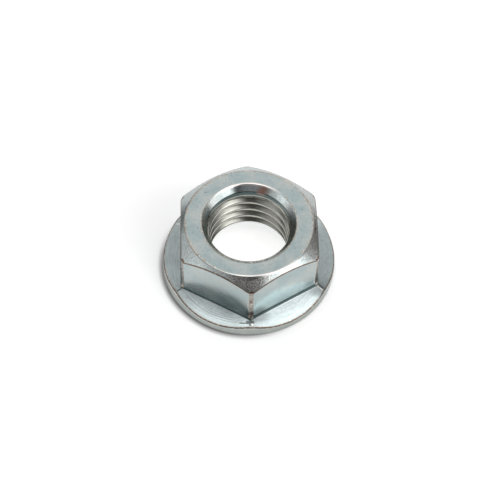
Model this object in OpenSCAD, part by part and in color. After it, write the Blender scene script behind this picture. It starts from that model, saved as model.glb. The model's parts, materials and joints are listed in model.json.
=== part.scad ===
// Hexagon flange nut for an M10 x 1.25 screw, 15 mm across the flats.
// One solid piece that stands on the bearing face of its flange.
// Millimetres; the thread axis is Z, the bearing face is Z = 0 and a corner of the hexagon points to -Y.

/* [Hexagon] */
// Width across the flats
across_flats = 15; // [14:0.1:16]
// Height from the bearing face to the top face
nut_height = 7.8; // [7:0.1:9]
// Depth by which the six corners are turned down, from the sharp corner
corner_cut = 0.16; // [0.1:0.01:0.4]
// Height by which the foot of a corner starts above the foot of a flat
corner_rise = 0.17; // [0.12:0.01:0.3]
// Diameter of the flat top face, at the start of the chamfer
top_face_d = 14.1; // [13.4:0.1:14.7]
// Slope of the chamfer below the horizontal
chamfer_angle = 38; // [28:1:45]
// Rounding between the top face and the chamfer
top_edge_r = 0.3; // [0.1:0.05:0.6]

/* [Flange] */
// Outside diameter of the flange
flange_d = 19.6; // [19:0.1:21]
// Height at which the middle of a facet, its lowest line, would reach the outside diameter
rim_height = 0.87; // [0.7:0.01:1]
// Height at which a facet would reach the flat of the hexagon
facet_height = 1.8; // [1.6:0.05:2]
// Depth of the hollow across a facet, from the hexagon to the rim
facet_dish = 0.055; // [0.03:0.005:0.1]
// Radius of the hollow at the foot of the hexagon
foot_r = 0.6; // [0.4:0.05:0.8]
// Slope the foot has turned to where it meets the facet, from the upright
foot_turn = 45; // [35:1:50]
// Slope of the rim from the upright, narrower toward the top
rim_draft = 10; // [4:1:16]
// Rounding under the rim
rim_edge_r = 0.2; // [0.1:0.05:0.4]

/* [Threaded hole] */
// Nominal diameter of the thread
thread_d = 10; // [9.6:0.1:10.2]
// Pitch of the thread
thread_pitch = 1.25; // [1:0.05:1.5]
// Slope of both countersinks, from the faces
sink_angle = 52; // [46:1:55]
// Rounding of both countersink lips
lip_r = 0.2; // [0.1:0.05:0.4]
// Diameter of the countersink in the top face, past its rounded lip
mouth_d = 10.6; // [10.4:0.1:11.2]
// Diameter of the short relief between the top countersink and the thread
relief_d = 9.24; // [9.1:0.02:9.5]
// Depth at which the thread starts below the top face
top_sink = 1.75; // [1.6:0.05:2.2]
// Depth at which the thread starts above the bearing face, where the lower countersink ends
bottom_sink = 1.75; // [1.4:0.05:1.9]

/* [Hidden] */
// Segments of the small, the large and the very flat curves in the preview
small_fn = 60;
large_fn = 120;
facet_fn = 720;
// How far the rough shapes run past the finished faces that cut them
overrun = 1;
// Depth by which the foot of a flat runs on inside the flange
foot_cover = 0.3;

sides = 6;
half_turn = 180 / sides;
wall_d = across_flats / 2;
corner_r = wall_d / cos(half_turn) - corner_cut;
top_face_r = top_face_d / 2;
flange_r = flange_d / 2;

// Facet: an arc from the flat of the hexagon down to the rim, hollow by facet_dish
facet_run = flange_r - wall_d;
facet_drop = facet_height - rim_height;
facet_chord = sqrt(facet_run * facet_run + facet_drop * facet_drop);
facet_r = (facet_chord * facet_chord / 4 + facet_dish * facet_dish) / (2 * facet_dish);
facet_cx = (wall_d + flange_r) / 2 + facet_drop / facet_chord * (facet_r - facet_dish);
facet_cz = (facet_height + rim_height) / 2 + facet_run / facet_chord * (facet_r - facet_dish);
facet_far = flange_r + overrun;
facet_cap = facet_height + foot_cover;

// Height of the facet surface at a distance d from the axis, square to a flat
function facet_z(d) = facet_cz - sqrt(pow(facet_r, 2) - pow(facet_cx - d, 2));

// The foot is tangent to the wall at foot_z and meets the facet foot_turn further round
foot_out = foot_r * (1 - cos(foot_turn));
foot_z = facet_z(wall_d + foot_out) + foot_r * sin(foot_turn);
corner_foot_z = foot_z + corner_rise;

// Thread: the plain hole has the minor diameter, which leaves five eighths of the full sharp thread
thread_angle = 60;
sharp_depth = thread_pitch / (2 * tan(thread_angle / 2));
minor_r = thread_d / 2 - 5 / 8 * sharp_depth;
relief_r = relief_d / 2;
mouth_r = mouth_d / 2;
lip_run = lip_r * tan(sink_angle / 2);

// Section across one side of the nut: the flat, its hollow foot and the hollow facet of the flange
module side_section() {
    difference() {
        translate([-overrun, -overrun])
            square([facet_far + overrun, facet_cap + overrun]);
        translate([facet_cx, facet_cz])
            circle(r = facet_r, $fn = facet_fn);
    }
    difference() {
        polygon([
            [-overrun, -overrun],
            [wall_d + foot_cover, -overrun],
            [wall_d + foot_cover, foot_z],
            [wall_d, foot_z],
            [wall_d, nut_height + overrun],
            [-overrun, nut_height + overrun]
        ]);
        translate([wall_d + foot_r, foot_z])
            circle(r = foot_r, $fn = small_fn);
    }
}

// Two opposite sides as one straight sweep
module side_pair() {
    rotate([90, 0, 0])
        linear_extrude(height = 2 * facet_far, center = true) {
            side_section();
            mirror([1, 0])
                side_section();
        }
}

// Outside of the nut in a half section through a corner: bearing face, rim, turned corner, chamfer and top face
module turned_section() {
    chamfer_drop = (corner_r - top_face_r) * tan(chamfer_angle);
    edge_run = top_edge_r * tan(chamfer_angle / 2);
    rim_r = flange_r - rim_edge_r * (1 - cos(rim_draft));
    rim_z = rim_edge_r * (1 + sin(rim_draft));
    difference() {
        polygon([
            [0, 0],
            [flange_r - rim_edge_r, 0],
            [rim_r, rim_z],
            [rim_r - (corner_foot_z - rim_z) * tan(rim_draft), corner_foot_z],
            [corner_r, corner_foot_z],
            [corner_r, nut_height - chamfer_drop],
            [
                top_face_r + edge_run * cos(chamfer_angle),
                nut_height - edge_run * sin(chamfer_angle)
            ],
            [top_face_r - edge_run, nut_height],
            [0, nut_height]
        ]);
        translate([corner_r + foot_r, corner_foot_z])
            circle(r = foot_r, $fn = small_fn);
    }
    translate([top_face_r - edge_run, nut_height - top_edge_r])
        circle(r = top_edge_r, $fn = small_fn);
    translate([flange_r - rim_edge_r, rim_edge_r])
        circle(r = rim_edge_r, $fn = small_fn);
}

// Half section of one end of the hole, mouth at z = 0 and depth upward: a rounded lip, a cone down to the first
// point of inner and straight on through the other points of inner
module sink_section(inner) {
    cone_end = inner[0];
    sharp_lip_r = cone_end[0] + cone_end[1] / tan(sink_angle);
    difference() {
        polygon(concat(
            [
                [0, -overrun],
                [sharp_lip_r + lip_run, -overrun],
                [sharp_lip_r + lip_run, 0],
                [sharp_lip_r - lip_run * cos(sink_angle), lip_run * sin(sink_angle)]
            ],
            inner,
            [[0, inner[len(inner) - 1][1]]]
        ));
        translate([sharp_lip_r + lip_run, lip_r])
            circle(r = lip_r, $fn = small_fn);
    }
}

// Half section of the hole: minor diameter of the thread, a plain countersink below, and above it a countersink, a
// straight relief and a shoulder at 45 degrees
module hole_section() {
    relief_depth = (mouth_r - lip_run - relief_r) * tan(sink_angle);
    shoulder = relief_r - minor_r;
    translate([0, -overrun])
        square([minor_r, nut_height + 2 * overrun]);
    sink_section([[minor_r, bottom_sink]]);
    translate([0, nut_height])
        mirror([0, 1])
            sink_section([
                [relief_r, relief_depth],
                [relief_r, top_sink - shoulder],
                [minor_r, top_sink]
            ]);
}

// The whole nut: a turned blank with a hole, cut to six sides that meet in mitres
module flange_nut() {
    color([0.72, 0.75, 0.76])
        intersection() {
            rotate_extrude($fn = large_fn)
                difference() {
                    turned_section();
                    hole_section();
                }
            intersection_for (k = [0 : sides / 2 - 1])
                rotate(2 * k * half_turn)
                    side_pair();
        }
}

flange_nut();
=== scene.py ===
"""Hexagon flange nut: the visual model, its zinc finish, the studio and the camera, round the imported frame."""

import json
import math

import bpy
import numpy as np
from mathutils import Matrix, Vector


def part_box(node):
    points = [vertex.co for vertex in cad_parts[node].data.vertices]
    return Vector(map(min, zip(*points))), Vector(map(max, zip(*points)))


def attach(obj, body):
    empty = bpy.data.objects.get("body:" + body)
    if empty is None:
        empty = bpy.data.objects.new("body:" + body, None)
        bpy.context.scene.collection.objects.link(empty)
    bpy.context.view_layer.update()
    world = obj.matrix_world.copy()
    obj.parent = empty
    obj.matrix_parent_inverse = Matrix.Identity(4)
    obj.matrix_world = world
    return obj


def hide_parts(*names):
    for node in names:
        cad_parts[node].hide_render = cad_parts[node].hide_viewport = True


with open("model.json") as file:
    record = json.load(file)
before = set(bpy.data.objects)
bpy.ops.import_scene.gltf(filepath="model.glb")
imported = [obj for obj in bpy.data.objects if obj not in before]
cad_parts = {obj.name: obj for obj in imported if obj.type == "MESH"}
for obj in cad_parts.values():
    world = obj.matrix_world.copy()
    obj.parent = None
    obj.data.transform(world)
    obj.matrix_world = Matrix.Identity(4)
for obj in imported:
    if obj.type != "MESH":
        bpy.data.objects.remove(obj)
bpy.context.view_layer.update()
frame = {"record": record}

NODE = "flange_nut"
MM = 0.001

_, high_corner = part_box(NODE)
thread_mount = next(m for m in frame["record"]["mounts"] if m["name"] == "thread")

# Sizes in millimetres and angles in degrees. The outside and the thread come from the frame.
FLANGE_R = high_corner.x / MM
NUT_HEIGHT = high_corner.z / MM
MINOR_R = thread_mount["dims"]["r_mm"]
WALL_D = 7.5
CORNER_CUT = 0.16
CORNER_RISE = 0.17
CORNER_SOFT = 0.03
TOP_FACE_R = 7.05
TOP_EDGE_R = 0.3
CHAMFER_ANGLE = 38
CHAMFER_EDGE_R = 0.09
RIM_HEIGHT = 0.87
RIM_EDGE_R = 0.2
RIM_DRAFT = 10
RIM_DRAFT_SWING = 6
RIM_DRAFT_TURN = -150
RIM_TOP_R = 0.07
FACET_HEIGHT = 1.8
FACET_DISH = 0.055
RIDGE_SOFT = 0.7
FOOT_R = 0.6
FOOT_TURN = 45
MOUTH_R = 5.3
LIP_R = 0.2
SINK_ANGLE = 52
RELIEF_R = 4.62
RELIEF_SOFT_R = 0.08
TOP_SINK = 1.75
BOTTOM_SINK = 1.75
SHOULDER = RELIEF_R - MINOR_R
SHOULDER_SOFT = 0.05
THREAD_BOTTOM = 0.8
THREAD_TOP = NUT_HEIGHT - TOP_SINK + SHOULDER + 2 * SHOULDER_SOFT

# Thread: right-hand, with a crest CREST_HEIGHT above the bearing face on the +Y side
PITCH = 1.25
THREAD_HALF_ANGLE = 30
MAJOR_R = 5.0
CREST_HALF = PITCH / 8
CREST_HEIGHT = 5.4
THREAD_SOFT = 0.05
GROOVE_FADE = 0.3

# Rows of the mesh across a facet and up the foot of a wall, as shares of the way
FACET_ROWS = (0.03, 0.08, 0.15, 0.23, 0.31, 0.39, 0.47, 0.55, 0.63, 0.71, 0.79, 0.87, 0.93, 0.975, 0.995)
FOOT_ROWS = (0.01, 0.04, 0.1, 0.2, 0.32, 0.45, 0.58, 0.72, 0.86, 1.0)
# Columns: how many, how evenly they lie and how fast they spread away from a corner
SIDES = 6
HALF_SIDE = 180 / SIDES
COLUMNS_PER_HALF_SIDE = 30
COLUMN_EVENNESS = 0.12
COLUMN_SPREAD = 2.2
STEPS_PER_PITCH = 24
# The step over which a facet's slope is measured, and the decimals to which two points are one
SLOPE_STEP = 0.1
POINT_DECIMALS = 5

# How worn the edges are, and how far the wear of the sharp ones reaches to both sides
FOOT_WEAR = 0.35
RIM_WEAR = 0.82
RIM_WEAR_BAND = 0.18
CHAMFER_WEAR_BAND = 0.14
CORNER_WEAR = 0.62
TOP_WEAR = 0.45
LIP_WEAR = 0.4

# Where wear and painted shade come in: shares of the way across a facet or up a foot, and angles from the middle of a
# side. The painted shade of a foot lies higher at a corner.
FOOT_WEAR_ROWS = (0.96, 0.99)
CORNER_WEAR_ROWS = (0, 0.4)
CORNER_WEAR_ANGLES = (28.0, 28.3)
FOOT_SHADE_ROWS = (0.75, 0.3)
CORNER_SHADE_SHIFT = 0.45

# The rim is painted in part like the thread, which makes it greyer, and in part with painted shade, which makes it
# darker
RIM_GREY = 0.6
RIM_SHADE = 0.28

# Grain of the countersink, and of the chamfer everywhere and round some headings (heading, half width in degrees). The
# top edge and the lip of the hole each carry a painted highlight round one heading, and the countersink and the relief
# each carry painted shade, darkest round another one.
SINK_GRAIN = 0.25
CHAMFER_GRAIN = 0.25
GRAIN_PATCH = 0.75
GRAIN_PATCHES = ((-93, 20), (-8, 20))
EDGE_HIGHLIGHT = (-78, 40)
EDGE_HIGHLIGHT_STRENGTH = 0.7
LIP_HIGHLIGHT = (92, 45)
SINK_SHADE = 0.85
SINK_SHADE_AROUND = (-90, 70)
RELIEF_SHADE = 0.4
RELIEF_SHADE_AROUND = (90, 60)

# Finish: colours are the light that the metal returns, scales are per millimetre and reliefs are in millimetres
ZINC = (0.4, 0.475, 0.48)
ZINC_WARM = (0.43, 0.47, 0.46)
ZINC_IN_HOLE = (0.43, 0.43, 0.39)
ZINC_ON_CONES = (0.48, 0.46, 0.44)
ZINC_ON_FACETS = (0.425, 0.48, 0.485)
WORN = (0.37, 0.33, 0.28)
TARNISH = (0.12, 0.085, 0.07)
# Pale colour of the grains in a worn edge, and of the painted highlights
BARE_AND_HIGHLIGHT = (0.85, 0.8, 0.76)
RED = (0.46, 0.26, 0.21)
SHADOWED = (0.07, 0.1, 0.1)
ROUGHNESS = 0.2
ROUGHNESS_SWING = 0.04
EDGE_ROUGHNESS = 0.15
CONE_ROUGHNESS = 0.06
CLOUD_SCALE = 0.5
GRAIN_SCALE = 3.0
SPECK_SCALE = 7.0
DIRT_SCALE = 4.0
STREAKS_ROUND = 5.0
STREAKS_ACROSS = 7.0
GRAIN_RELIEF = 0.002
SPECK_RELIEF = 0.008
STREAK_RELIEF = 0.001

# How much of the light is left on a scratch, a bit of dirt, the painted shade of a dent and a spot of painted dark
# reflection, how far the grain moves the wear up and down, and how much of the pale colour the grains in a worn edge
# have
SCRATCH_TONE = 0.7
DIRT_TONE = 0.7
DENT_SHADE_TONE = 0.25
DARK_REFLECTION_TONE = 0.6
WEAR_SWING = 0.16
PALE_GRAINS = 0.5

# Where a spot and a line are at their full strength, as shares of the way from the middle to the end
SPOT_CORE = 0.3
LINE_CORE = 0.2

# Places of single marks: centre and half sizes of a spot; ends and half width of a stroke, seen from above
RED_SPOT = ((1.75, 4.7, 7.2), (1.1, 0.7, 0.8))
TOP_SPECK = ((-4.75, 4.1, 7.8), (0.1, 0.1, 0.2))
# Spots of painted dark reflection: on the flange by the right corner, and at the foot of the front right wall
DARK_REFLECTION_SPOTS = (
    ((7.3, -5.1, 1.2), (1.5, 0.8, 0.6)),
    ((0.8, -8.3, 2.0), (1.9, 1.2, 1.9)),
)
# Painted shade of each dent and crease along the ridges of the flange
DENT_SHADE_STROKES = (
    ((-0.4, -8.95), (0.22, -8.98), 0.26),
    ((-1.2, -8.96), (-0.15, -9.12), 0.09),
    ((-0.12, -9.1), (-0.06, -9.55), 0.14),
    ((7.75, -4.3), (8.5, -4.8), 0.12),
    ((-7.5, -4.45), (-8.4, -4.85), 0.12),
)
# Painted highlights of each dent and crease along the ridges of the flange
DENT_HIGHLIGHT_STROKES = (
    ((0.17, -9.2), (0.2, -9.7), 0.17),
    ((7.63, -4.5), (8.4, -5.05), 0.1),
    ((-8.1, 4.4), (-7.8, 4.3), 0.1),
)
# Scratches round the axis on the facets: radius, half width, heading of the middle and cosine of half the arc
SCRATCHES = (
    (8.75, 0.05, -126, 0.9),
    (8.56, 0.05, -112, 0.975),
    (8.98, 0.04, -108, 0.985),
)

# Floor: half its size in metres, how much light it returns, and how much it gives by itself under the hole and
# elsewhere
FLOOR_HALF_SIZE = 2.0
FLOOR_ALBEDO = 0.9
HOLE_GLOW = 0.65
FLOOR_GLOW = 0.19
GLOW_INNER_R = 5.8
GLOW_OUTER_R = 7.5

# Contact shadow along the rim: how dark, where it is darkest and where it ends, round which heading, and the cosines
# between which it fades away from that heading. Under the nut it fades out inward from CONTACT_INNER_R.
CONTACT_DARK = 0.75
CONTACT_DARKEST_R = FLANGE_R - 0.1
CONTACT_R = 10.5
CONTACT_TURN = -140
CONTACT_FADE = (0.1, 0.95)
CONTACT_INNER_R = FLANGE_R - 0.5

# Camera: where it stands, from the curves of the nut in the photograph
CAMERA_ELEVATION = 56.46
CAMERA_TURN = -2.68
CAMERA_ROLL = 1.28
CAMERA_DISTANCE = 155.8
FRAME_PX = 500
FOCAL_PX = 1368
ORIGIN_X_PX = 248.3
ORIGIN_Y_PX = 261.5
SENSOR_MM = 36


def cosd(angle):
    return np.cos(np.radians(angle))


def sind(angle):
    return np.sin(np.radians(angle))


def tand(angle):
    return np.tan(np.radians(angle))


def soft_min(a, b, width):
    """The smaller of two values, rounded over where they cross."""
    return 0.5 * (a + b - np.sqrt((a - b) ** 2 + width * width))


def soft_max(a, b, width):
    return -soft_min(-a, -b, width)


def smooth_step(value, start, end):
    """0 before the start and 1 past the end, which may be the smaller one."""
    t = np.clip((value - start) / (end - start), 0, 1)
    return t * t * (3 - 2 * t)


def gauss(heading, centre, half_width):
    """A bell round one heading, in degrees."""
    away = (heading - centre + 180) % 360 - 180
    return np.exp(-((away / half_width) ** 2))


def column_angles():
    """Columns of the mesh, in degrees round the axis: close together at the six corners."""
    share = np.arange(COLUMNS_PER_HALF_SIDE) / COLUMNS_PER_HALF_SIDE
    from_corner = HALF_SIDE * (COLUMN_EVENNESS * share + (1 - COLUMN_EVENNESS) * share**COLUMN_SPREAD)
    side = np.concatenate([from_corner, [HALF_SIDE], 2 * HALF_SIDE - from_corner[:0:-1]])
    return np.concatenate([-90 + k * 2 * HALF_SIDE + side for k in range(SIDES)])


THETA = column_angles()
# Angle of each column from the middle of its own side, and of the next side round the corner
OWN = np.abs((THETA + 90) % (2 * HALF_SIDE) - HALF_SIDE)
NEXT = 2 * HALF_SIDE - OWN
# How far each column reaches square to its own flat, as a share of its radius
TO_FLAT = cosd(OWN)


def across(radius):
    """Distance from the axis square to the nearest flat, with the mitre at a corner slightly softened."""
    return soft_max(radius * cosd(OWN), radius * cosd(NEXT), RIDGE_SOFT)


# The hollow facet is an arc from the flat of the hexagon down to the rim
facet_run = FLANGE_R - WALL_D
facet_drop = FACET_HEIGHT - RIM_HEIGHT
facet_chord = math.hypot(facet_run, facet_drop)
facet_r = (facet_chord**2 / 4 + FACET_DISH**2) / (2 * FACET_DISH)
facet_cx = (WALL_D + FLANGE_R) / 2 + facet_drop / facet_chord * (facet_r - FACET_DISH)
facet_cz = (FACET_HEIGHT + RIM_HEIGHT) / 2 + facet_run / facet_chord * (facet_r - FACET_DISH)


def facet_z(distance):
    return facet_cz - np.sqrt(facet_r**2 - (facet_cx - distance) ** 2)


FOOT_OUT = FOOT_R * (1 - cosd(FOOT_TURN))
FOOT_BOTTOM = facet_z(WALL_D + FOOT_OUT)
FOOT_TOP = FOOT_BOTTOM + FOOT_R * sind(FOOT_TURN)
CORNER_R = WALL_D / cosd(HALF_SIDE) - CORNER_CUT
LIP_RUN = LIP_R * tand(SINK_ANGLE / 2)


def wall_radius(height):
    """Radius of the hexagon and its hollow foot at one height, for every column."""
    dip = np.clip(FOOT_TOP - height, 0, FOOT_R)
    flat = (WALL_D + FOOT_R - np.sqrt(FOOT_R**2 - dip**2)) / TO_FLAT
    corner_dip = np.clip(FOOT_TOP + CORNER_RISE - height, 0, FOOT_R)
    corner = CORNER_R + FOOT_R - np.sqrt(FOOT_R**2 - corner_dip**2)
    return soft_min(flat, corner + 0 * flat, CORNER_SOFT)


# Marks that the finish is painted by, from 0 to 1: a worn edge, painted shade at the foot of a wall and in other
# shaded places, a machined cone, the thread, the facets of the flange and a painted highlight on an edge
MARKS = ("edge", "foot", "cone", "thread", "facet", "bare")


class Skin:
    """Rows of points round the nut. Each row has a radius, a height and the marks, for every column."""

    def __init__(self):
        self.rows = []

    def add(self, radius, height, **marks):
        values = [radius, height] + [marks.get(name, 0.0) for name in MARKS]
        self.rows.append(np.stack([np.broadcast_to(np.asarray(v, float), THETA.shape) for v in values], -1))

    def line(self, start, end, steps, **marks):
        """Rows strictly between two (radius, height) places."""
        for i in range(1, steps):
            t = i / steps
            self.add(start[0] + t * (end[0] - start[0]), start[1] + t * (end[1] - start[1]), **marks)

    def rounding(self, corner, before, after, radius, steps, band=0.0, beyond=0.0, **marks):
        """An arc in place of a sharp corner, between the directions before and after it in degrees. A band adds a row
        at that distance on both sides, which is only as worn as the metal beyond it."""
        turn = (after - before + 180) % 360 - 180
        reach = radius * np.abs(tand(turn / 2))
        side = np.sign(turn)
        start_x = corner[0] - reach * cosd(before)
        start_z = corner[1] - reach * sind(before)
        centre_x = start_x - side * radius * sind(before)
        centre_z = start_z + side * radius * cosd(before)
        plain = {**marks, "edge": beyond}
        if band:
            self.add(start_x - band * cosd(before), start_z - band * sind(before), **plain)
        for i in range(steps + 1):
            heading = before + turn * i / steps
            x = centre_x + side * radius * sind(heading)
            z = centre_z - side * radius * cosd(heading)
            self.add(x, z, **marks)
        if band:
            self.add(x + band * cosd(after), z + band * sind(after), **plain)

    def last(self):
        return self.rows[-1][:, 0], self.rows[-1][:, 1]


def cone_radius(height):
    """Radius of the lower countersink, which ends at the minor diameter of the thread."""
    return MINOR_R + (BOTTOM_SINK - height) / tand(SINK_ANGLE)


def add_bearing_face(skin):
    """The lower cone, its lip and the face that the nut stands on."""
    lip_r = cone_radius(0)
    skin.add(cone_radius(THREAD_BOTTOM), THREAD_BOTTOM)
    skin.line(skin.last(), (lip_r - LIP_RUN * cosd(SINK_ANGLE), LIP_RUN * sind(SINK_ANGLE)), steps=6)
    skin.rounding((lip_r, 0), -SINK_ANGLE, 0, LIP_R, steps=6, edge=LIP_WEAR)
    skin.line(skin.last(), (FLANGE_R - RIM_EDGE_R, 0), steps=8)


def add_rim(skin):
    """The rim, which slopes inward and ends at a worn edge where the facets begin."""
    draft = RIM_DRAFT + RIM_DRAFT_SWING * cosd(THETA - RIM_DRAFT_TURN)
    corner_r = FLANGE_R - RIM_EDGE_R + RIM_EDGE_R * tand((90 + draft) / 2)
    # The bottom edge and the side of the rim carry painted shade
    skin.rounding((corner_r, 0), 0, 90 + draft, RIM_EDGE_R, steps=8, thread=RIM_GREY, foot=RIM_SHADE)
    start_r, start_z = skin.last()
    rim_z = facet_z(across(FLANGE_R))
    # three rounds bring the slope and the facets to one point
    for _ in range(3):
        rim_r = start_r - (rim_z - start_z) * tand(draft)
        rim_z = facet_z(across(rim_r))
    slope_out = (facet_z(across(rim_r)) - facet_z(across(rim_r - SLOPE_STEP))) / SLOPE_STEP
    facet_heading = 180 + np.degrees(np.arctan(slope_out))
    rim_end = (rim_r + 2 * RIM_TOP_R * sind(draft), rim_z - 2 * RIM_TOP_R * cosd(draft))
    skin.line(skin.last(), rim_end, steps=5, thread=RIM_GREY, foot=RIM_SHADE)
    skin.rounding((rim_r, rim_z), 90 + draft, facet_heading, RIM_TOP_R, steps=4,
                  band=RIM_WEAR_BAND, edge=RIM_WEAR)


def add_facets(skin):
    start_r = skin.last()[0]
    end_r = (WALL_D + FOOT_OUT) / TO_FLAT
    for t in FACET_ROWS:
        radius = start_r + t * (end_r - start_r)
        worn = FOOT_WEAR * smooth_step(t, *FOOT_WEAR_ROWS)
        skin.add(radius, facet_z(across(radius)), facet=1.0, edge=worn)


def add_walls(skin):
    """The hollow foot with painted shade low in it, the walls with their worn corners and the edge of the chamfer."""
    corner = smooth_step(OWN, *CORNER_WEAR_ANGLES)
    corner_foot = FOOT_TOP + CORNER_RISE
    # Painted shade low in the hollow foot, reaching higher at a corner
    shade_start, shade_end = (row + CORNER_SHADE_SHIFT * corner for row in FOOT_SHADE_ROWS)
    for t in FOOT_ROWS:
        height = FOOT_BOTTOM + t * (corner_foot - FOOT_BOTTOM)
        worn = CORNER_WEAR * corner * smooth_step(t, *CORNER_WEAR_ROWS)
        skin.add(wall_radius(height), height, foot=smooth_step(t, shade_start, shade_end), edge=worn)
    chamfer_r = wall_radius(NUT_HEIGHT)
    chamfer_z = NUT_HEIGHT - (chamfer_r - TOP_FACE_R) * tand(CHAMFER_ANGLE)
    wall_end = (chamfer_r, chamfer_z - CHAMFER_EDGE_R - 2 * CHAMFER_WEAR_BAND)
    skin.line(skin.last(), wall_end, steps=12, edge=CORNER_WEAR * corner)
    skin.rounding((chamfer_r, chamfer_z), 90, 180 - CHAMFER_ANGLE, CHAMFER_EDGE_R, steps=4,
                  band=CHAMFER_WEAR_BAND, beyond=CORNER_WEAR * corner, edge=1.0)


def add_chamfer_and_top(skin):
    edge_run = TOP_EDGE_R * tand(CHAMFER_ANGLE / 2)
    edge_start = (TOP_FACE_R + edge_run * cosd(CHAMFER_ANGLE), NUT_HEIGHT - edge_run * sind(CHAMFER_ANGLE))
    grainy = CHAMFER_GRAIN + sum(GRAIN_PATCH * gauss(THETA, *patch) for patch in GRAIN_PATCHES)
    skin.line(skin.last(), edge_start, steps=7, cone=grainy)
    # Painted highlight along the top edge round one heading
    highlight = EDGE_HIGHLIGHT_STRENGTH * gauss(THETA, *EDGE_HIGHLIGHT)
    skin.rounding((TOP_FACE_R, NUT_HEIGHT), 180 - CHAMFER_ANGLE, 180, TOP_EDGE_R, steps=6,
                  edge=TOP_WEAR * (1 - highlight), bare=highlight)
    skin.line(skin.last(), (MOUTH_R, NUT_HEIGHT), steps=8)


def add_countersink(skin):
    """The upper lip, the cone and the relief above the thread, with a painted highlight on the lip and painted shade
    on all three.
    """
    cone_end = NUT_HEIGHT - (MOUTH_R - LIP_RUN - RELIEF_R) * tand(SINK_ANGLE)
    # Painted highlight on the lip at the back; painted shade on the lip and the cone, darkest at the front
    highlight = gauss(THETA, *LIP_HIGHLIGHT)
    sink_shading = SINK_SHADE * gauss(THETA, *SINK_SHADE_AROUND)
    skin.rounding((MOUTH_R - LIP_RUN, NUT_HEIGHT), 180, 180 + SINK_ANGLE, LIP_R, steps=6,
                  edge=LIP_WEAR * (1 - highlight), bare=highlight, foot=sink_shading)
    skin.line(skin.last(), (RELIEF_R, cone_end), steps=7, cone=SINK_GRAIN, foot=sink_shading)
    # Painted shade on the relief, darkest at the back
    relief_shading = RELIEF_SHADE + (1 - RELIEF_SHADE) * gauss(THETA, *RELIEF_SHADE_AROUND)
    skin.rounding((RELIEF_R, cone_end), 180 + SINK_ANGLE, 270, RELIEF_SOFT_R, steps=3, foot=relief_shading)
    skin.line(skin.last(), (RELIEF_R, THREAD_TOP), steps=5, foot=relief_shading)
    skin.add(RELIEF_R, THREAD_TOP, thread=1.0)


def build_outside():
    """From the lower end of the thread, out round the rim and up to the upper end of the thread."""
    skin = Skin()
    add_bearing_face(skin)
    add_rim(skin)
    add_facets(skin)
    add_walls(skin)
    add_chamfer_and_top(skin)
    add_countersink(skin)
    return skin


def groove_depth(theta, height):
    """Depth of the thread's groove below its crest, 0 to the full depth."""
    turns = (height - CREST_HEIGHT) / PITCH - (theta - 90) / 360
    from_crest = np.abs((turns + 0.5) % 1 - 0.5) * PITCH
    depth = (from_crest - CREST_HALF) / tand(THREAD_HALF_ANGLE)
    return soft_min(soft_max(depth, 0, THREAD_SOFT), MAJOR_R - MINOR_R, THREAD_SOFT)


def bore_radius(theta, height):
    """Radius of the threaded part of the hole: the thread, the shoulder above it and the countersink below it."""
    depth = NUT_HEIGHT - height
    shoulder_r = np.minimum(RELIEF_R, MINOR_R + TOP_SINK - depth)
    fade = smooth_step(depth, TOP_SINK - SHOULDER, TOP_SINK - SHOULDER + GROOVE_FADE)
    thread_r = MINOR_R + fade * groove_depth(theta, height)
    below_top = SHOULDER_SOFT * smooth_step(height, THREAD_TOP, THREAD_TOP - 2 * SHOULDER_SOFT)
    above_bottom = SHOULDER_SOFT * smooth_step(height, THREAD_BOTTOM, THREAD_BOTTOM + 4 * SHOULDER_SOFT)
    return soft_max(soft_max(thread_r, shoulder_r, below_top), cone_radius(height), above_bottom)


def bore_columns(bottom, top):
    """Points of the thread, one column after another. Rows follow the helix and stop at the two end rings."""
    first = math.floor((bottom - CREST_HEIGHT) / PITCH) - 2
    last = math.ceil((top - CREST_HEIGHT) / PITCH) + 2
    steps = np.arange(first * STEPS_PER_PITCH, last * STEPS_PER_PITCH + 1) / STEPS_PER_PITCH
    turned = THETA[:, None] - 90
    height = np.clip(CREST_HEIGHT + PITCH * (steps[None, :] + turned / 360), bottom, top)
    radius = bore_radius(THETA[:, None], height)
    return radius, height


def ring_points(radius, height, theta):
    return np.stack([radius * cosd(theta), radius * sind(theta), height + 0 * radius], -1)


def grid_points(outside, bore_r, bore_z):
    """Points and marks of both grids, one column after another: first the outside, then the thread."""
    theta = THETA[:, None]
    points = np.concatenate([
        ring_points(outside[..., 0], outside[..., 1], theta).reshape(-1, 3),
        ring_points(bore_r, bore_z, theta).reshape(-1, 3),
    ])
    bore_marks = np.zeros((bore_r.size, len(MARKS)))
    bore_marks[:, MARKS.index("thread")] = 1
    marks = np.concatenate([outside[..., 2:].reshape(-1, len(MARKS)), bore_marks])
    return points, marks


def grid_quads(columns, rows, bore_rows):
    """Faces of both grids, as four point numbers each."""
    bore_start = columns * rows
    quads = []
    for c in range(columns):
        n = (c + 1) % columns
        r = np.arange(rows - 1)
        quads.append(np.stack([c * rows + r, n * rows + r, n * rows + r + 1, c * rows + r + 1], -1))
        # one turn further on, the helical rows have climbed by one pitch
        climb = STEPS_PER_PITCH if n == 0 else 0
        r = np.arange(bore_rows - 1 - climb)
        here = bore_start + c * bore_rows + r
        there = bore_start + n * bore_rows + r + climb
        quads.append(np.stack([here, here + 1, there + 1, there], -1))
    return np.concatenate(quads)


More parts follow.
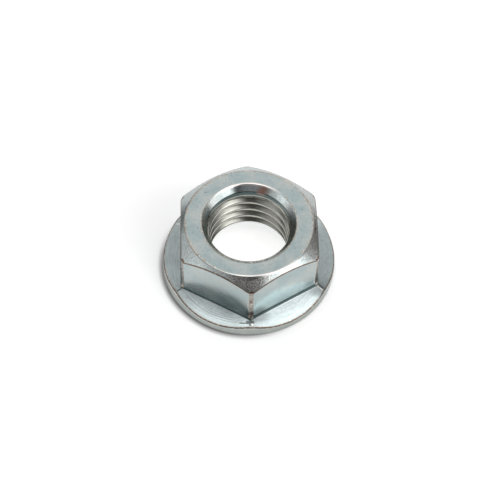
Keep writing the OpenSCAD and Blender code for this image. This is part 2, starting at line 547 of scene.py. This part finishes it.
def build_nut():
    """The whole skin as one closed mesh: a grid for the outside and a helical one for the thread."""
    outside = np.stack(build_outside().rows, 1)
    bore_r, bore_z = bore_columns(THREAD_BOTTOM, THREAD_TOP)
    points, marks = grid_points(outside, bore_r, bore_z)
    quads = grid_quads(outside.shape[0], outside.shape[1], bore_r.shape[1])

    # join the points that coincide, and drop what then has no area
    rounded = np.round(points, POINT_DECIMALS)
    _, first_use, index = np.unique(rounded, axis=0, return_index=True, return_inverse=True)
    faces = []
    for quad in index.reshape(-1)[quads].tolist():
        face = [v for i, v in enumerate(quad) if v != quad[i - 1]]
        if len(set(face)) == len(face) and len(face) > 2:
            faces.append(face)
    mesh = bpy.data.meshes.new("nut")
    mesh.from_pydata((points[first_use] * MM).tolist(), [], faces)
    for i, name in enumerate(MARKS):
        values = np.ascontiguousarray(marks[first_use, i], np.float32)
        mesh.attributes.new(name, "FLOAT", "POINT").data.foreach_set("value", values)
    mesh.validate()
    mesh.shade_smooth()
    nut = bpy.data.objects.new("nut", mesh)
    bpy.context.scene.collection.objects.link(nut)
    return nut


class Paint:
    """Short ways to add shader nodes to one material. Places are in millimetres in the frame of the nut."""

    def __init__(self, material):
        material.use_nodes = True
        self.nodes = material.node_tree.nodes
        self.links = material.node_tree.links
        self.shader = self.nodes["Principled BSDF"]
        place = self.nodes.new("ShaderNodeTexCoord")
        self.place = self.vector("SCALE", place.outputs["Object"], scale=1 / MM)

    def put(self, value, socket):
        if isinstance(value, bpy.types.NodeSocket):
            self.links.new(value, socket)
        else:
            socket.default_value = value

    def vector(self, operation, a, b=None, scale=None):
        node = self.nodes.new("ShaderNodeVectorMath")
        node.operation = operation
        self.put(a, node.inputs[0])
        if b is not None:
            self.put(b, node.inputs[1])
        if scale is not None:
            self.put(scale, node.inputs["Scale"])
        return node.outputs["Value" if operation in ("LENGTH", "DOT_PRODUCT") else "Vector"]

    def math(self, operation, a, b=0.0):
        node = self.nodes.new("ShaderNodeMath")
        node.operation = operation
        self.put(a, node.inputs[0])
        self.put(b, node.inputs[1])
        return node.outputs["Value"]

    def times(self, product, *factors):
        for factor in factors:
            product = self.math("MULTIPLY", product, factor)
        return product

    def strongest(self, mask, *others):
        for other in others:
            mask = self.math("MAXIMUM", mask, other)
        return mask

    def fit(self, value, start, end, low=0.0, high=1.0):
        """Carries a range of values over to another one, with soft ends."""
        node = self.nodes.new("ShaderNodeMapRange")
        node.interpolation_type = "SMOOTHSTEP"
        self.put(value, node.inputs["Value"])
        for name, number in (("From Min", start), ("From Max", end), ("To Min", low), ("To Max", high)):
            self.put(number, node.inputs[name])
        return node.outputs["Result"]

    def noise(self, scale, detail, place=None):
        node = self.nodes.new("ShaderNodeTexNoise")
        self.put(self.place if place is None else place, node.inputs["Vector"])
        node.inputs["Scale"].default_value = scale
        node.inputs["Detail"].default_value = detail
        return node.outputs["Fac"]

    def mark(self, name):
        node = self.nodes.new("ShaderNodeAttribute")
        node.attribute_name = name
        return node.outputs["Fac"]

    def mix(self, factor, a, b):
        """Goes from one colour to another. Inputs 6 and 7 and output 2 are the node's sockets for colours."""
        node = self.nodes.new("ShaderNodeMix")
        node.data_type = "RGBA"
        self.put(factor, node.inputs["Factor"])
        for socket, colour in ((node.inputs[6], a), (node.inputs[7], b)):
            self.put(colour if isinstance(colour, bpy.types.NodeSocket) else (*colour, 1), socket)
        return node.outputs[2]

    def mix_value(self, factor, a, b):
        """Goes from one number to another."""
        node = self.nodes.new("ShaderNodeMix")
        for number, socket in ((factor, "Factor"), (a, "A"), (b, "B")):
            self.put(number, node.inputs[socket])
        return node.outputs["Result"]

    def flat_place(self):
        """The place without its height."""
        return self.vector("MULTIPLY", self.place, (1, 1, 0))

    def toward(self, place, heading):
        """Cosine of the angle between a place and a heading, seen from the axis."""
        return self.vector("DOT_PRODUCT", self.vector("NORMALIZE", place), (cosd(heading), sind(heading), 0))

    def round_place(self, around, across_rings):
        """A place for streaks that run round the axis, without a seam."""
        flat = self.flat_place()
        radius = self.vector("LENGTH", flat)
        heading = self.vector("SCALE", self.vector("NORMALIZE", flat), scale=around)
        rings = self.nodes.new("ShaderNodeCombineXYZ")
        self.put(self.times(radius, across_rings), rings.inputs["Z"])
        return self.vector("ADD", heading, rings.outputs["Vector"])

    def spot(self, centre, size):
        """1 inside an ellipsoid round a place, 0 outside it."""
        away = self.vector("SUBTRACT", self.place, centre)
        away = self.vector("DIVIDE", away, size)
        return self.fit(self.vector("LENGTH", away), 1.0, SPOT_CORE)

    def near_line(self, away, half_width):
        """1 on a line and 0 half its width away from it."""
        return self.fit(away, half_width, LINE_CORE * half_width)

    def stroke(self, start, end, half_width):
        """1 on a straight line between two (x, y) places, seen from above, and 0 away from it."""
        start, end = Vector((*start, 0)), Vector((*end, 0))
        along = end - start
        offset = self.vector("SUBTRACT", self.flat_place(), start)
        share = self.math("DIVIDE", self.vector("DOT_PRODUCT", offset, along), along.dot(along))
        share = self.math("MINIMUM", self.math("MAXIMUM", share, 0.0), 1.0)
        nearest = self.vector("SCALE", along, scale=share)
        return self.near_line(self.vector("LENGTH", self.vector("SUBTRACT", offset, nearest)), half_width)

    def arc(self, radius, half_width, heading, reach):
        """1 on an arc round the axis, seen from above, that fades toward its ends."""
        flat = self.flat_place()
        away = self.math("ABSOLUTE", self.math("SUBTRACT", self.vector("LENGTH", flat), radius))
        ends = self.fit(self.toward(flat, heading), reach, (1 + reach) / 2)
        return self.times(self.near_line(away, half_width), ends)


def plate_colour(paint, marks, cloud):
    """Colour of the plate: mottled, of another hue in the hole and on the cones, and with painted shade at the foot of
    a wall, on the rim and in the hole.
    """
    colour = paint.mix(paint.fit(cloud, 0.4, 0.65), ZINC, ZINC_WARM)
    colour = paint.mix(marks["thread"], colour, ZINC_IN_HOLE)
    colour = paint.mix(marks["cone"], colour, ZINC_ON_CONES)
    colour = paint.mix(marks["facet"], colour, ZINC_ON_FACETS)
    # Painted shade where the foot mark is set
    return paint.mix(paint.fit(marks["foot"], 0.1, 0.8), colour, SHADOWED)


def plate_tone(paint, marks, cloud, grain, speck, streak):
    """How light the plate is: clouds, specks on the cones, streaks and scratches on the facets, and bits of dirt."""
    tone = paint.times(paint.fit(cloud, 0.3, 0.7, 0.95, 1.05), paint.fit(grain, 0.3, 0.7, 0.96, 1.04))
    grainy = paint.times(marks["cone"], paint.fit(grain, 0.25, 0.6, 0.6, 1.0))
    tone = paint.times(tone, paint.mix_value(grainy, 1.0, paint.fit(speck, 0.32, 0.68, 0.3, 1.5)))
    tone = paint.times(tone, paint.mix_value(marks["facet"], 1.0, paint.fit(streak, 0.3, 0.7, 0.92, 1.07)))
    scratch = paint.strongest(paint.fit(streak, 0.68, 0.72), *(paint.arc(*line) for line in SCRATCHES))
    tone = paint.times(tone, paint.mix_value(paint.times(scratch, marks["facet"]), 1.0, SCRATCH_TONE))
    return paint.times(tone, paint.fit(paint.noise(DIRT_SCALE, 1.0), 0.68, 0.78, 1.0, DIRT_TONE))


def wear_edges(paint, marks, colour, grain, speck):
    """A tan film along the edges, with pale grains in it, brown where the edge is sharp, and painted highlights on two
    edges.
    """
    worn = paint.math("ADD", marks["edge"], paint.fit(grain, 0.3, 0.7, -WEAR_SWING, WEAR_SWING))
    colour = paint.mix(paint.fit(worn, 0.12, 0.55, 0.0, 0.8), colour, WORN)
    grains = paint.times(paint.fit(marks["edge"], 0.1, 0.4), paint.fit(speck, 0.56, 0.66), PALE_GRAINS)
    # Painted highlights along the top edge and the lip
    highlight_mask = paint.fit(marks["bare"], 0.2, 0.9)
    colour = paint.mix(paint.strongest(grains, highlight_mask), colour, BARE_AND_HIGHLIGHT)
    return paint.mix(paint.fit(worn, 0.5, 0.8, 0.0, 0.95), colour, TARNISH)


def dent_shade_and_highlight(paint, facet):
    """Masks of the painted shade and the painted highlights of each dent and crease on the facets. The shade mask also
    holds a speck on the top face.
    """
    dark = paint.strongest(*(paint.stroke(*line) for line in DENT_SHADE_STROKES))
    pale = paint.strongest(*(paint.stroke(*line) for line in DENT_HIGHLIGHT_STROKES))
    return paint.strongest(paint.times(dark, facet), paint.spot(*TOP_SPECK)), paint.times(pale, facet)


def zinc_material():
    """Bright zinc plate: mottled, streaked round the axis, grainy on its cones and worn to brown on its edges, with
    painted shade, painted highlights and painted dark reflections.
    """
    material = bpy.data.materials.new("bright_zinc")
    paint = Paint(material)
    marks = {name: paint.mark(name) for name in MARKS}
    cloud = paint.noise(CLOUD_SCALE, 2.0)
    grain = paint.noise(GRAIN_SCALE, 3.0)
    speck = paint.noise(SPECK_SCALE, 1.0)
    streak = paint.noise(1.0, 3.0, paint.round_place(STREAKS_ROUND, STREAKS_ACROSS))

    colour = wear_edges(paint, marks, plate_colour(paint, marks, cloud), grain, speck)
    red = paint.times(paint.spot(*RED_SPOT), paint.fit(grain, 0.35, 0.6, 0.35, 1.0))
    colour = paint.mix(red, colour, RED)
    tone = plate_tone(paint, marks, cloud, grain, speck, streak)
    # Painted shade and painted highlights of each dent and crease on the flange
    dark, pale = dent_shade_and_highlight(paint, marks["facet"])
    tone = paint.times(tone, paint.mix_value(dark, 1.0, DENT_SHADE_TONE))
    # Darkened by the spots of painted dark reflection
    for place in DARK_REFLECTION_SPOTS:
        tone = paint.times(tone, paint.mix_value(paint.spot(*place), 1.0, DARK_REFLECTION_TONE))
    shaded = paint.vector("SCALE", colour, scale=tone)
    paint.put(paint.mix(pale, shaded, BARE_AND_HIGHLIGHT), paint.shader.inputs["Base Color"])
    paint.shader.inputs["Metallic"].default_value = 1

    rough = paint.fit(cloud, 0.3, 0.7, ROUGHNESS - ROUGHNESS_SWING, ROUGHNESS + ROUGHNESS_SWING)
    rough = paint.math("ADD", rough, paint.times(marks["edge"], EDGE_ROUGHNESS))
    rough = paint.math("ADD", rough, paint.times(marks["cone"], CONE_ROUGHNESS))
    paint.put(rough, paint.shader.inputs["Roughness"])

    relief = paint.times(grain, GRAIN_RELIEF)
    relief = paint.math("ADD", relief, paint.times(marks["cone"], speck, SPECK_RELIEF))
    relief = paint.math("ADD", relief, paint.times(marks["facet"], streak, STREAK_RELIEF))
    bump = paint.nodes.new("ShaderNodeBump")
    bump.inputs["Distance"].default_value = MM
    paint.put(relief, bump.inputs["Height"])
    paint.put(bump.outputs["Normal"], paint.shader.inputs["Normal"])
    return material


def add_floor():
    """A white lit table with a soft shadow along the rim. It is brighter under the hole, where little of the studio's
    light gets down."""
    mesh = bpy.data.meshes.new("floor")
    far = FLOOR_HALF_SIZE
    mesh.from_pydata([(-far, -far, 0), (far, -far, 0), (far, far, 0), (-far, far, 0)], [], [(0, 1, 2, 3)])
    floor = bpy.data.objects.new("floor", mesh)
    bpy.context.scene.collection.objects.link(floor)
    material = bpy.data.materials.new("floor_white")
    paint = Paint(material)
    distance = paint.vector("LENGTH", paint.place)
    around = paint.fit(paint.toward(paint.place, CONTACT_TURN), *CONTACT_FADE)
    outside = paint.fit(distance, CONTACT_R, CONTACT_DARKEST_R)
    inside = paint.fit(distance, GLOW_OUTER_R, CONTACT_INNER_R)
    lit = paint.math("SUBTRACT", 1.0, paint.times(outside, around, inside, CONTACT_DARK))
    glow = paint.fit(distance, GLOW_INNER_R, GLOW_OUTER_R, HOLE_GLOW, FLOOR_GLOW)
    shade = paint.vector("SCALE", (FLOOR_ALBEDO, FLOOR_ALBEDO, FLOOR_ALBEDO), scale=lit)
    paint.put(shade, paint.shader.inputs["Base Color"])
    paint.put(paint.times(glow, lit), paint.shader.inputs["Emission Strength"])
    paint.shader.inputs["Emission Color"].default_value = (1, 1, 1, 1)
    paint.shader.inputs["Roughness"].default_value = 1
    paint.shader.inputs["Specular IOR Level"].default_value = 0
    mesh.materials.append(material)


# The studio: a dim dome with soft panels that add up. Each panel has a direction (turn from +X, elevation), an inner
# and an outer angle between which it fades out, and a brightness.
DOME = 0.05
PANELS = (
    # left
    (180, 12, 14, 34, 0.75),
    (-145, 44, 6, 28, 0.55),
    (-158, 15, 10, 30, 0.8),
    # the key, right and in front
    (-28, 14, 23, 31, 1.8),
    (-40, 40, 13, 26, 2.0),
    # a weak fill in front
    (-100, 17, 10, 34, 0.3),
    # right and behind, low
    (0, 0, 8, 22, 0.3),
    (2, 22, 8, 24, 0.2),
    (45, 33, 8, 22, 0.5),
    # behind
    (75, 12, 15, 45, 0.7),
    (90, 35, 15, 42, 0.2),
    (90, 60, 12, 36, 0.65),
    (135, 32, 8, 32, 0.6),
    # overhead
    (-5, 55, 5, 28, 0.4),
    (22, 68, 6, 20, 1.0),
    (-15, 73, 8, 17, 1.2),
    (-140, 81, 7, 15, 1.5),
    (150, 72, 6, 26, 1.1),
)
# What a camera sees of the studio past the edge of the floor
BACKDROP = 1.0


def panel_light(nodes, links, direction, panel):
    """How bright one soft panel is in each direction."""
    turn, elevation, inner, outer, strength = panel
    dot = nodes.new("ShaderNodeVectorMath")
    dot.operation = "DOT_PRODUCT"
    dot.inputs[1].default_value = (
        cosd(elevation) * cosd(turn),
        cosd(elevation) * sind(turn),
        sind(elevation),
    )
    links.new(direction, dot.inputs[0])
    fade = nodes.new("ShaderNodeMapRange")
    fade.interpolation_type = "SMOOTHSTEP"
    fade.inputs["From Min"].default_value = cosd(outer)
    fade.inputs["From Max"].default_value = cosd(inner)
    fade.inputs["To Max"].default_value = strength
    links.new(dot.outputs["Value"], fade.inputs["Value"])
    return fade.outputs["Result"]


def studio_light():
    """The dome and the panels, and a plain backdrop for the camera."""
    world = bpy.data.worlds.new("studio")
    bpy.context.scene.world = world
    world.use_nodes = True
    nodes = world.node_tree.nodes
    links = world.node_tree.links
    nodes.clear()
    place = nodes.new("ShaderNodeTexCoord")
    total = nodes.new("ShaderNodeValue").outputs[0]
    total.default_value = DOME
    for panel in PANELS:
        light = panel_light(nodes, links, place.outputs["Generated"], panel)
        both = nodes.new("ShaderNodeMath")
        links.new(total, both.inputs[0])
        links.new(light, both.inputs[1])
        total = both.outputs["Value"]
    seen = nodes.new("ShaderNodeLightPath")
    choice = nodes.new("ShaderNodeMix")
    choice.inputs["B"].default_value = BACKDROP
    links.new(seen.outputs["Is Camera Ray"], choice.inputs["Factor"])
    links.new(total, choice.inputs["A"])
    background = nodes.new("ShaderNodeBackground")
    background.inputs["Color"].default_value = (1, 1, 1, 1)
    links.new(choice.outputs["Result"], background.inputs["Strength"])
    output = nodes.new("ShaderNodeOutputWorld")
    links.new(background.outputs["Background"], output.inputs["Surface"])
    bpy.context.scene.view_settings.view_transform = "Standard"


def add_camera():
    """Aims at the centre of the bearing face, which the shift puts at its place in the frame."""
    heading = math.radians(-90 + CAMERA_TURN)
    elevation = math.radians(CAMERA_ELEVATION)
    toward = Vector((math.cos(elevation) * math.cos(heading), math.cos(elevation) * math.sin(heading),
                     math.sin(elevation)))
    right = Vector((0, 0, 1)).cross(toward).normalized()
    up = toward.cross(right)
    turn = Matrix.Rotation(math.radians(CAMERA_ROLL), 4, toward)
    camera = bpy.data.objects.new("camera", bpy.data.cameras.new("camera"))
    axes = Matrix((right, up, toward)).transposed().to_4x4()
    camera.matrix_world = Matrix.Translation(toward * CAMERA_DISTANCE * MM) @ turn @ axes
    camera.data.sensor_width = SENSOR_MM
    camera.data.lens = FOCAL_PX / FRAME_PX * SENSOR_MM
    camera.data.shift_x = (FRAME_PX / 2 - ORIGIN_X_PX) / FRAME_PX
    camera.data.shift_y = (ORIGIN_Y_PX - FRAME_PX / 2) / FRAME_PX
    camera.data.clip_start = 0.001
    bpy.context.scene.collection.objects.link(camera)
    bpy.context.scene.camera = camera


nut = build_nut()
nut.data.materials.append(zinc_material())
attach(nut, "root")
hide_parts(NODE)

add_floor()
studio_light()
add_camera()
